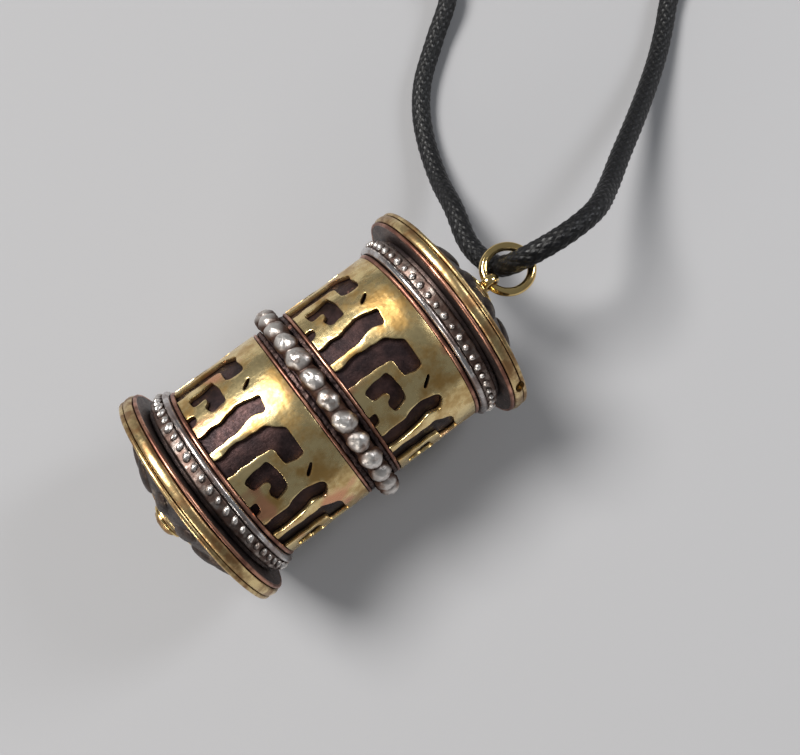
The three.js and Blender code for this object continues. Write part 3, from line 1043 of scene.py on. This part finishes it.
@dataclass
class PiercedSleeve(Maker):
    """A brass sheet sleeve pierced with a generic fretwork of scrolls, bent round the drum."""

    motifs: int = 6
    edge: float = 0.05 * MM
    strips: int = 132
    seam: float = 0.01
    saw_wander: float = 0.2
    saw_grain: float = 1.1
    saw_step: float = 0.28
    fillet: float = 0.42
    fillet_steps: int = 4

    def strokes(self) -> list[tuple[list[tuple[float, float]], float]]:
        """Openings of one motif: a line and a width, in mm round the drum and up from the lower edge."""
        return [
            ([(1.3, -1.0), (1.3, 4.2), (2.0, 5.1), (4.1, 5.1)], 1.8),
            ([(3.7, 0.9), (3.4, 2.7), (5.2, 2.9), (5.5, 1.9)], 1.2),
            ([(5.6, -0.9), (5.4, 0.6)], 1.0),
            ([(7.9, -1.0), (7.9, 2.6), (7.4, 3.8), (7.9, 5.7)], 1.6),
            ([(5.2, 5.9), (5.9, 5.0)], 0.3),
        ]

    def outline(self, posts: list[tuple[float, float]], width: float) -> list[Vector]:
        """A stroke's outline: up one side of its line, and down the other side.

        Args:
            posts: The corners of its line.
            width: Its width.

        Returns:
            The outline, with rounded corners.
        """
        points = [Vector(post) for post in posts]
        ways = [(end - start).normalized() for start, end in zip(points, points[1:])]

        def side(index: int, turn: int) -> Vector:
            """The outline beside one corner of the line, to its left or right."""
            after = ways[min(index, len(ways) - 1)]
            mitre = (ways[max(index - 1, 0)] + after).normalized()
            return points[index] + Vector((-mitre.y, mitre.x)) * (turn * width / 2 / mitre.dot(after))

        order = range(len(points))
        return self.filed([*(side(i, 1) for i in order), *(side(i, -1) for i in reversed(order))])

    def filed(self, corners: list[Vector]) -> list[Vector]:
        """Rounds an outline's corners, and divides its straight sides."""
        count = len(corners)
        result = []
        for index, corner in enumerate(corners):
            back, ahead = corners[index - 1] - corner, corners[(index + 1) % count] - corner
            cuts = [min(self.fillet, way.length * 0.45) for way in (back, ahead)]
            start, end = corner + back.normalized() * cuts[0], corner + ahead.normalized() * cuts[1]
            for step in range(self.fillet_steps + 1):
                t = step / self.fillet_steps
                result.append(start * (1 - t) ** 2 + corner * (2 * t * (1 - t)) + end * t ** 2)
            onward = corner + ahead * (1 - min(self.fillet, ahead.length * 0.45) / ahead.length)
            pieces = max(1, round((onward - end).length / self.saw_step))
            result += [end.lerp(onward, piece / pieces) for piece in range(1, pieces)]
        return result

    def sawn(self, point: Vector) -> Vector:
        """Moves a point of an outline a little, as a hand saw wanders."""
        drift = noise.noise_vector(Vector((point.x, point.y, 0.0)) * self.saw_grain)
        return point + Vector((drift.x, drift.y)) * self.saw_wander

    @staticmethod
    def notch(outline: list[Vector]) -> list[Vector]:
        """The part of an outline above the lower edge, from its left foot to its right foot."""
        count = len(outline)
        first = next(i for i in range(count) if outline[i - 1].y < 0 <= outline[i].y)
        kept = []
        for shift in range(count):
            point = outline[(first + shift) % count]
            if point.y < 0:
                break
            kept.append(point.copy())
        below, above = outline[first - 1], kept[0]
        share = below.y / (below.y - above.y)
        kept.insert(0, below.lerp(above, share))
        below, above = outline[(first + len(kept) - 1) % count], kept[-1]
        kept.append(below.lerp(above, below.y / (below.y - above.y)))
        return kept

    def build(self, end: End) -> bpy.types.Object:
        """Makes one sleeve."""
        node = f"sleeve_{end.suffix}"
        seat = self.seat(node)
        inner = self.seat("drum_tube").outer + 0.05 * MM
        around = 2 * math.pi * seat.outer
        pitch = around / self.motifs / MM
        height = seat.width / MM
        holes: list[list[Vector]] = []
        lower: list[Vector] = []
        for number in range(-self.motifs // 2, self.motifs // 2):
            shift = Vector((pitch * number, 0))
            feet = []
            for posts, width in self.strokes():
                shape = [self.sawn(point + shift) for point in self.outline(posts, width)]
                if min(point.y for point in shape) < 0:
                    feet.append(self.notch(shape))
                else:
                    holes.append(shape)
            feet.sort(key=lambda foot: foot[0].x)
            for foot in feet:
                lower.extend(foot)
        half = pitch * self.motifs / 2 - self.seam
        upper = [Vector((half, height)), Vector((-half, height))]
        border = [Vector((-half, 0)), *lower, Vector((half, 0)), *upper]
        curve = bpy.data.curves.new(node, "CURVE")
        curve.dimensions = "2D"
        curve.fill_mode = "BOTH"
        for loop in (border, *holes):
            spline = curve.splines.new("POLY")
            spline.points.add(len(loop) - 1)
            for target, point in zip(spline.points, loop):
                target.co = (point.x * MM, point.y * MM, 0, 1)
            spline.use_cyclic_u = True
        thickness = seat.outer - inner
        curve.extrude = thickness / 2 - self.edge
        curve.bevel_depth = self.edge
        curve.bevel_resolution = 1
        curve.offset = -self.edge
        sheet = bpy.data.objects.new(f"pierced_{node}", curve)
        bpy.context.scene.collection.objects.link(sheet)
        Bench.pick(sheet)
        bpy.ops.object.convert(target="MESH")
        piece = bpy.context.object
        with Bench.editing(piece):
            bpy.ops.mesh.remove_doubles(threshold=1e-6)
            for strip in range(1, self.strips):
                bpy.ops.mesh.select_all(action="SELECT")
                bpy.ops.mesh.bisect(
                    plane_co=(around * (strip / self.strips - 0.5), 0, 0), plane_no=(1, 0, 0), threshold=1e-7,
                )
        middle = (seat.outer + inner) / 2
        for vertex in piece.data.vertices:
            flat = vertex.co.copy()
            vertex.co = self.spindle.point(seat.start + flat.y, flat.x / seat.outer, middle + flat.z)
        Bench.smooth(piece, 30)
        return self.hand_over(piece, Body.DRUM, "sleeve_brass", SLEEVE_BRASS, replaces=[node])


GRAIN_SHAPES = {End.RING: (0.36 * MM, 0.2), End.TAIL: (0.46 * MM, 0.6)}


@dataclass
class Drum(Maker):
    """The turning drum: its tube, bands, wires, necks, flanges and domed ends."""

    seed: int = 7
    band_inner: float = 8.2 * MM
    edge_hoop: tuple[float, float] = (8.38 * MM, 0.17 * MM)
    rim_hoop: tuple[float, float] = (8.44 * MM, 0.22 * MM)
    bright_half_width: float = 0.29 * MM
    bright_feet: float = 8.62 * MM
    bright_top: float = 9.08 * MM
    bead_radius: float = 1.0 * MM
    bead_count: int = 28
    grain_ring: float = 8.93 * MM
    grain_count: int = 54
    rim_inner: float = 9.6 * MM
    rim_feet: float = 10.16 * MM
    rim_groove: float = 0.68
    dent_angle: float = math.radians(68)
    dent_radius: float = 0.45 * MM
    dome_rise: float = 3.1 * MM
    dome_reach: float = 9.55 * MM
    dome_wall: float = 0.5 * MM
    petal_count: int = 12
    petal_ring: float = 5.75 * MM

    def ring(
        self,
        name: str,
        section: Section,
        slot: str,
        finish: Finish,
        replaces: Iterable[str],
        unevenness: float = 0.0,
        drills: Iterable[bpy.types.Object] = (),
    ) -> bpy.types.Object:
        """Turns one plain ring of the drum, drills it and hands it over."""
        piece = Bench.turned(name, section, self.spindle)
        for drill in drills:
            Bench.apply(piece, "BOOLEAN", object=drill, operation="DIFFERENCE", solver="EXACT")
            bpy.data.objects.remove(drill)
        if unevenness:
            Bench.uneven(piece, unevenness, 4 * MM)
        Bench.smooth(piece)
        return self.hand_over(piece, Body.DRUM, slot, finish, replaces=replaces)

    def tube(self) -> None:
        """The oxidised drum under the sleeves."""
        seat = self.seat("drum_tube")
        section = rounded(seat.start, seat.end, seat.outer - 0.4 * MM, seat.outer, 0.05 * MM, 2)
        self.ring("drum_skin", section, "dark_copper", DARK_COPPER, ["drum_tube"])

    def grained(self, node: str, grain: bpy.types.Object, base: Section, count: int, spread: float,
                waves: float, finish: Finish, base_finish: Finish) -> None:
        """A ring of grains on a turned base.

        Args:
            node: The CAD node that it stands for.
            grain: One grain, above the spindle.
            base: The base's section.
            count: How many grains there are.
            spread: How much the grains differ in size.
            waves: How uneven the whole ring is.
            finish: The grains' finish.
            base_finish: The base's finish.
        """
        dice = random.Random(self.seed)
        self.dress(grain, finish)
        grains = Bench.round_the_drum(
            grain, count, self.spindle, lambda index: 1 + spread * (dice.random() - 0.5)
        )
        band = self.dress(Bench.turned(f"{node}_base", base, self.spindle), base_finish)
        piece = Bench.joined(f"{node}_grains", [band, *grains])
        Bench.uneven(piece, waves, 2.2 * waves)
        Bench.smooth(piece, 60)
        self.hand_over(piece, Body.DRUM, "white_metal", replaces=[node])

    def bead(self, name: str, place: float, ring: float, size: Point, segments: int,
             slant: float = 0.0) -> bpy.types.Object:
        """One bead straight above the spindle.

        Args:
            name: Its name.
            place: Its place along the spindle.
            ring: The radius that its middle is on.
            size: Half its size along the spindle, round the drum and outwards.
            segments: Steps round it.
            slant: The turn of its length away from the spindle.

        Returns:
            The bead.
        """
        Bench.clear_selection()
        bpy.ops.mesh.primitive_uv_sphere_add(
            segments=segments, ring_count=segments // 2, radius=1.0, rotation=(0, 0, slant),
            location=self.spindle.point(place, 0, ring), scale=size,
        )
        return Bench.active(name)

    def bead_wire(self) -> None:
        """The bead wire round the middle."""
        seat = self.seat("bead_wire")
        radius = self.bead_radius
        size = (radius * 0.95, radius * 1.12, radius * 0.9)
        bead = self.bead("bead", seat.centre, seat.outer - radius, size, 32, slant=0.35)
        low, high = seat.centre - 0.78 * MM, seat.centre + 0.78 * MM
        base = rounded(low, high, self.band_inner, 9.35 * MM, 0.62 * MM)
        self.grained("bead_wire", bead, base, self.bead_count, 0.14, 0.3 * MM, BEAD_METAL, BEAD_METAL)

    def middle_bands(self, end: End) -> None:
        """The pitted strip and the thin copper wire beside the bead wire."""
        strip = self.seat(f"pitted_strip_{end.suffix}")
        section = rounded(strip.start, strip.end, self.band_inner, strip.outer, 0.08 * MM, 2)
        piece = Bench.turned(f"pitted_band_{end.suffix}", section, self.spindle, steps=300)
        Bench.apply(piece, "SUBSURF", levels=1, render_levels=1, subdivision_type="SIMPLE")
        Bench.uneven(piece, 0.22 * MM, 0.32 * MM)
        Bench.smooth(piece, 60)
        self.hand_over(piece, Body.DRUM, "dark_copper", PITTED_COPPER,
                       replaces=[f"pitted_strip_{end.suffix}"])
        thin = self.seat(f"edge_wire_{end.suffix}")
        self.ring(f"edge_wire_{end.suffix}_hoop", wire(thin.centre, *self.edge_hoop), "warm_copper",
                  COPPER, [f"edge_wire_{end.suffix}"], 0.05 * MM)

    def end_bands(self, end: End) -> None:
        """The bands between the sleeve and the flange."""
        rim = self.seat(f"rim_wire_{end.suffix}")
        self.ring(f"rim_wire_{end.suffix}_hoop", wire(rim.centre, *self.rim_hoop), "warm_copper",
                  COPPER, [f"rim_wire_{end.suffix}"], 0.06 * MM)
        bright = self.seat(f"half_round_band_{end.suffix}")
        low, high = bright.centre - self.bright_half_width, bright.centre + self.bright_half_width
        ridge = arch(low, high, self.bright_feet, self.bright_top)
        section = [(low, self.band_inner), *ridge, (high, self.band_inner)]
        self.ring(f"bright_band_{end.suffix}", section, "white_metal", BRIGHT_BAND,
                  [f"half_round_band_{end.suffix}"], 0.05 * MM)
        grains = self.seat(f"grain_wire_{end.suffix}")
        length, slant = GRAIN_SHAPES[end]
        size = (length, 0.3 * MM, 0.36 * MM)
        grain = self.bead("grain", grains.centre, self.grain_ring, size, 10, slant)
        near, far = sorted((grains.centre - end.value * 0.44 * MM, grains.centre + end.value * 0.74 * MM))
        base = rounded(near, far, self.band_inner, 8.95 * MM, 0.2 * MM)
        self.grained(f"grain_wire_{end.suffix}", grain, base, self.grain_count, 0.35, 0.16 * MM,
                     GRAIN_METAL, PITTED_WHITE)
        neck = self.seat(f"neck_collar_{end.suffix}").narrowed(end, 0.22 * MM)
        self.ring(f"neck_{end.suffix}", rounded(neck.start, neck.end, self.band_inner, neck.outer, 0.1 * MM),
                  "dark_copper", NECK_METAL, [f"neck_collar_{end.suffix}"])

    def flange(self, end: End) -> None:
        """The copper plate and the rounded brass rim."""
        plate = self.seat(f"cap_plate_{end.suffix}")
        section = rounded(plate.start, plate.end, 2.2 * MM, plate.outer, plate.width * 0.45, 3)
        sheet = self.dress(Bench.turned("sheet", section, self.spindle), NECK_METAL)
        hoop = self.dress(
            Bench.turned("hoop", wire(plate.centre, plate.outer - 0.02 * MM, 0.17 * MM), self.spindle), COPPER
        )
        piece = Bench.joined(f"end_plate_{end.suffix}", [sheet, hoop])
        Bench.uneven(piece, 0.06 * MM, 2.5 * MM)
        Bench.smooth(piece)
        self.hand_over(piece, Body.DRUM, "warm_copper", replaces=[f"cap_plate_{end.suffix}"])
        rim = self.seat(f"flange_rim_{end.suffix}")
        near, far = (rim.start, rim.end) if end is End.RING else (rim.end, rim.start)
        groove = near + (far - near) * self.rim_groove
        wide = arch(near, groove, self.rim_feet, rim.outer)
        narrow = arch(groove, far, self.rim_feet, rim.outer - 0.05 * MM)
        section = [(near, self.rim_inner), *wide, *narrow[1:], (far, self.rim_inner)]
        drills = [self.drill(rim.centre, self.dent_angle, rim.outer)] if end is End.RING else []
        self.ring(f"rim_{end.suffix}", section, "rim_brass", RIM_BRASS,
                  [f"flange_rim_{end.suffix}"], 0.09 * MM, drills)

    def drill(self, along: float, angle: float, radius: float) -> bpy.types.Object:
        """An oval rod that stands on the drum, to cut a shallow hole with."""
        Bench.clear_selection()
        bpy.ops.mesh.primitive_cylinder_add(
            vertices=24, radius=self.dent_radius, depth=1.2 * MM, rotation=(angle, 0, 0),
            location=self.spindle.point(along, angle, radius), scale=(1.0, 1.6, 1.0),
        )
        return Bench.active("drill")

    def dome_height(self, end: End, radius: float) -> float:
        """How far from the drum's middle the dome's outside is, at a radius."""
        seat = self.seat(f"dome_{end.suffix}")
        rise = self.dome_rise
        foot = max(abs(seat.start), abs(seat.end)) - rise
        bow = (self.dome_reach ** 2 + rise ** 2) / (2 * rise)
        return foot + rise - bow + math.sqrt(bow ** 2 - radius ** 2)

    def dome(self, end: End) -> None:
        """The domed end and the chased rosette on it."""
        way = end.value
        radii = [(1.78 + (9.5 - 1.78) * step / 14) * MM for step in range(15)]
        outside = [(way * self.dome_height(end, r), r) for r in radii]
        inside = [(along - way * self.dome_wall, r) for along, r in reversed(outside)]
        self.ring(f"domed_end_{end.suffix}", [*outside, *inside], "dark_copper", DARK_COPPER,
                  [f"dome_{end.suffix}"])
        parts = self.petals(end)
        plate = [(2.1 + (8.3 - 2.1) * step / 10) * MM for step in range(11)]
        top = [(way * (self.dome_height(end, r) + 0.16 * MM), r) for r in plate]
        under = [(along - way * 0.14 * MM, r) for along, r in reversed(top)]
        parts.append(self.dress(Bench.turned("rosette_plate", [*top, *under], self.spindle), PETAL_METAL))
        for place, thick in ((8.3, 0.2), (2.35, 0.22), (3.35, 0.12)):
            height = way * (self.dome_height(end, place * MM) + 0.14 * MM)
            hoop = Bench.turned("rosette_wire", wire(height, place * MM, thick * MM), self.spindle)
            parts.append(self.dress(hoop, RIM_BRASS))
        piece = Bench.joined(f"rosette_{end.suffix}_relief", parts)
        Bench.smooth(piece, 60)
        self.hand_over(piece, Body.DRUM, "white_metal", replaces=[f"rosette_{end.suffix}"])

    def on_dome(self, end: End, radius: float) -> Matrix:
        """A place on the dome above the spindle: its own Z stands on the dome and its Y runs outwards."""
        step = 0.1 * MM
        here = Vector((end.value * self.dome_height(end, radius), 0, radius))
        there = Vector((end.value * self.dome_height(end, radius + step), 0, radius + step))
        outward = (there - here).normalized()
        across = Vector((0, 1, 0)) * -end.value
        normal = across.cross(outward)
        turn = Matrix((across, outward, normal)).transposed().to_4x4()
        return Matrix.Translation(Vector((self.spindle.middle, 0, self.spindle.height)) + here) @ turn

    def petals(self, end: End) -> list[bpy.types.Object]:
        """Petals with a raised edge, and the grains between them."""
        parts: list[bpy.types.Object] = []
        place = self.on_dome(end, self.petal_ring)
        Bench.clear_selection()
        bpy.ops.mesh.primitive_uv_sphere_add(segments=20, ring_count=10, radius=1.0)
        petal = self.dress(Bench.active("petal"), PETAL_METAL)
        petal.data.transform(place @ Matrix.Diagonal((0.95 * MM, 1.95 * MM, 0.5 * MM, 1)))
        parts += Bench.round_the_drum(petal, self.petal_count, self.spindle)
        Bench.clear_selection()
        bpy.ops.mesh.primitive_torus_add(
            major_segments=32, minor_segments=8, major_radius=1.0, minor_radius=0.12,
        )
        edge = self.dress(Bench.active("petal_edge"), RIM_BRASS)
        edge.data.transform(place @ Matrix.Translation((0, 0, 0.3 * MM)) @ Matrix.Diagonal(
            (1.2 * MM, 2.2 * MM, 1.9 * MM, 1)))
        parts += Bench.round_the_drum(edge, self.petal_count, self.spindle)
        for radius, size, count in ((7.55 * MM, 0.36 * MM, self.petal_count), (2.85 * MM, 0.26 * MM, 18)):
            Bench.clear_selection()
            bpy.ops.mesh.primitive_uv_sphere_add(segments=12, ring_count=6, radius=size)
            grain = self.dress(Bench.active("rosette_grain"), BRIGHT_BAND)
            between = Matrix.Rotation(math.pi / count, 4, "X")
            lift = Matrix.Translation((0, 0, self.spindle.height))
            grain.data.transform(lift @ between @ lift.inverted() @ self.on_dome(end, radius)
                                 @ Matrix.Translation((0, 0, 0.3 * MM)))
            parts += Bench.round_the_drum(grain, count, self.spindle)
        return parts

    def bush(self, end: End) -> None:
        """The flanged bush that the spindle turns in."""
        node = f"bush_{end.suffix}"
        seat = self.seat(node)
        way = end.value
        face = max(abs(seat.start), abs(seat.end))
        back = min(abs(seat.start), abs(seat.end))
        shoulder = self.dome_height(end, 1.75 * MM) + 0.04 * MM
        section = [(back, 0.97 * MM), (back, 1.7 * MM), (shoulder, 1.7 * MM), (shoulder, seat.outer),
                   (face - 0.1 * MM, seat.outer - 0.02 * MM), (face, seat.outer - 0.15 * MM),
                   (face, 0.97 * MM)]
        piece = Bench.turned(f"{node}_flanged", [(way * along, radius) for along, radius in section],
                             self.spindle, steps=72)
        Bench.smooth(piece, 40)
        self.hand_over(piece, Body.DRUM, "polished_brass", RIM_BRASS, replaces=[node])

    def build(self) -> None:
        """Makes the drum's pieces."""
        self.tube()
        self.bead_wire()
        sleeve = PiercedSleeve(self.spindle, self.finishes)
        for end in End:
            self.middle_bands(end)
            self.end_bands(end)
            self.flange(end)
            self.dome(end)
            self.bush(end)
            sleeve.build(end)
        self.keep("paper_roll", "roll_paper", ROLL_PAPER)
        self.keep("roll_thread", "roll_thread", ROLL_THREAD)


# --------------------------------------------------------------------------- the studio


@dataclass
class Studio:
    """The plain floor and the soft light."""

    floor_colour: Point = (0.33, 0.33, 0.34)
    sky: Point = (0.75, 0.78, 0.82)
    sky_strength: float = 0.2

    def floor(self) -> None:
        """A plain pale floor."""
        Bench.clear_selection()
        bpy.ops.mesh.primitive_plane_add(size=4.0, location=(0, 0, -0.00002))
        floor = Bench.active("floor")
        material = bpy.data.materials.new("floor")
        material.use_nodes = True
        shader = material.node_tree.nodes["Principled BSDF"]
        shader.inputs["Base Color"].default_value = (*self.floor_colour, 1)
        shader.inputs["Roughness"].default_value = 0.9
        floor.data.materials.append(material)

    def hang(self, name: str, data: bpy.types.Light, place: Point, target: Vector) -> None:
        """Hangs a light at a place counted from the target, and points it there."""
        light = bpy.data.objects.new(name, data)
        bpy.context.scene.collection.objects.link(light)
        light.location = target + Vector(place)
        light.rotation_mode = "QUATERNION"
        light.rotation_quaternion = (-Vector(place)).to_track_quat("-Z", "Y")

    def lamp(self, name: str, place: Point, size: tuple[float, float], power: float, colour: Point,
             target: Vector) -> None:
        """A soft rectangular lamp that points at the pendant."""
        data = bpy.data.lights.new(name, "AREA")
        data.shape = "RECTANGLE"
        data.size, data.size_y = size
        data.energy = power
        data.color = colour
        self.hang(name, data, place, target)

    def daylight(self, place: Point, strength: float, spread: float, colour: Point, target: Vector) -> None:
        """Soft light from far off, as strong at the floor's edge as at the pendant.

        Args:
            place: The direction that it comes from.
            strength: Its strength on a face that is square to it.
            spread: How wide it looks, in degrees.
            colour: Its colour.
            target: The pendant's middle.
        """
        data = bpy.data.lights.new("daylight", "SUN")
        data.energy = strength
        data.angle = math.radians(spread)
        data.color = colour
        self.hang("daylight", data, place, target)

    def build(self, spindle: Spindle) -> None:
        """Adds the floor, the sky and the lamps."""
        self.floor()
        world = bpy.data.worlds.new("sky")
        bpy.context.scene.world = world
        world.use_nodes = True
        background = world.node_tree.nodes["Background"]
        background.inputs[0].default_value = (*self.sky, 1)
        background.inputs[1].default_value = self.sky_strength
        target = Vector((spindle.middle, 0, spindle.height))
        window, warm = (-0.10, 0.22, 0.34), (1.0, 0.98, 0.95)
        self.daylight(window, 3.0, 26.0, warm, target)
        self.lamp("window", window, (0.20, 0.13), 0.85, warm, target)
        self.lamp("fill", (0.28, -0.06, 0.22), (0.08, 0.14), 0.45, (0.95, 0.97, 1.0), target)
        self.lamp("edge", (-0.30, -0.12, 0.12), (0.20, 0.06), 0.4, (1.0, 0.96, 0.9), target)


def main() -> None:
    """Builds the pendant in order."""
    logging.basicConfig(level=logging.INFO, format="%(name)s %(message)s")
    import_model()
    spindle = Spindle.from_frame()
    finishes = Finishes(spindle)
    Camera().build(spindle)
    NeckCord(spindle, finishes).build()
    Hanger(spindle, finishes).build()
    Drum(spindle, finishes).build()
    Studio().build(spindle)
    bpy.context.scene.view_settings.view_transform = "Standard"


if __name__ == "__main__":
    main()
